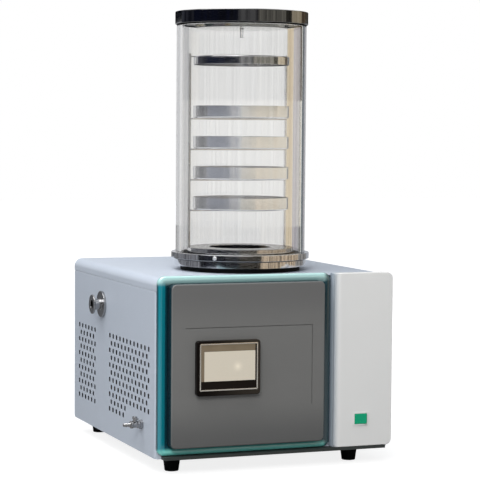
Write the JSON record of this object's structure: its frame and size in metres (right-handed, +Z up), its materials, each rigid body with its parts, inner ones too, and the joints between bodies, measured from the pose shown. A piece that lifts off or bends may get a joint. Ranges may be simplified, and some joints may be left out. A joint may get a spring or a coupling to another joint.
{
  "type": "freeze dryer",
  "caption": "Bench-top freeze dryer: refrigerated cabinet with touch screen, cold trap below a clear drying chamber with a rack of trays, vacuum port and drain valve.",
  "frame": {"origin": "centre of the whole part's footprint, on the surface that the feet stand on", "axes": "+Z up, +Y towards the rear, +X to the right as seen from the front; the touch screen faces -Y"},
  "size_m": [0.523, 0.5952, 0.8897],
  "materials": {
    "cabinet_paint": "powder coated sheet",
    "column_paint": "satin paint",
    "teal_plastic": "moulded gloss",
    "grey_plastic": "fine grained moulding",
    "black_plastic": "gloss",
    "black_rubber": "moulded",
    "dark_steel": "painted sheet",
    "polished_steel": "polished stainless steel",
    "brushed_steel": "drawn stainless steel",
    "clear_acrylic": "polished clear acrylic",
    "screen_face": "display window",
    "green_plastic": "gloss",
    "copper": "drawn copper tube",
    "foam": "closed foam",
    "compressor_paint": "black paint",
    "aluminium": "plain fins"
  },
  "bodies": {
    "cabinet": {"base_pan": "dark_steel", "top_cover": "cabinet_paint", "left_side_panel": "cabinet_paint", "right_side_panel": "cabinet_paint", "rear_panel": "cabinet_paint", "foot_front_left": "black_rubber", "foot_front_right": "black_rubber", "foot_rear_left": "black_rubber", "foot_rear_right": "black_rubber", "front_bezel": "teal_plastic", "front_panel": "grey_plastic", "front_column": "column_paint", "screen_bezel": "black_plastic", "screen_trim": "polished_steel", "screen_glass": "screen_face", "switch_frame": "column_paint", "cold_trap_vessel": "brushed_steel", "evaporator_coil": "copper", "trap_insulation": "foam", "trap_gasket": "black_rubber", "vacuum_pipe": "brushed_steel", "drain_pipe": "clear_acrylic", "chamber_seal": "black_rubber", "chamber_base_ring": "polished_steel", "ring_screw_1": "polished_steel", "ring_screw_2": "polished_steel", "ring_screw_3": "polished_steel", "chamber_tube": "clear_acrylic", "lid_seal": "black_rubber", "lid": "black_plastic", "lid_boss": "clear_acrylic", "rack_base": "brushed_steel", "rack_upright_left": "polished_steel", "rack_upright_right": "polished_steel", "shelf_bar_1": "polished_steel", "shelf_bar_2": "polished_steel", "shelf_bar_3": "polished_steel", "shelf_bar_4": "polished_steel", "tray_1": "polished_steel", "tray_2": "polished_steel", "tray_3": "polished_steel", "tray_4": "polished_steel", "rack_top_shelf": "polished_steel", "vacuum_port": "polished_steel", "drain_valve_body": "polished_steel", "condenser": "aluminium", "fan_housing": "black_plastic", "compressor": "compressor_paint", "compressor_mount_1": "black_rubber", "compressor_mount_2": "black_rubber", "compressor_mount_3": "black_rubber", "filter_drier": "copper", "suction_pipe": "copper", "liquid_pipe": "copper", "discharge_pipe": "copper", "control_box": "grey_plastic", "power_inlet": "black_plastic"},
    "power_rocker": {"power_rocker": "green_plastic"},
    "drain_lever": {"drain_lever": "polished_steel"},
    "fan_rotor": {"fan_rotor": "black_plastic"}
  },
  "joints": [
    {"name": "power_rocker_tilt", "type": "hinge", "parent": "cabinet", "child": "power_rocker", "pos_m": [0.1945, -0.2722, 0.091], "axis": [0, 0, 1], "range_deg": [0, 12]},
    {"name": "drain_lever_turn", "type": "hinge", "parent": "cabinet", "child": "drain_lever", "pos_m": [-0.2383, -0.1772, 0.0978], "axis": [0, 0, 1], "range_deg": [-90, 0]},
    {"name": "fan_spin", "type": "hinge", "parent": "cabinet", "child": "fan_rotor", "pos_m": [-0.1528, -0.0862, 0.171], "axis": [1, 0, 0], "continuous": true}
  ]
}
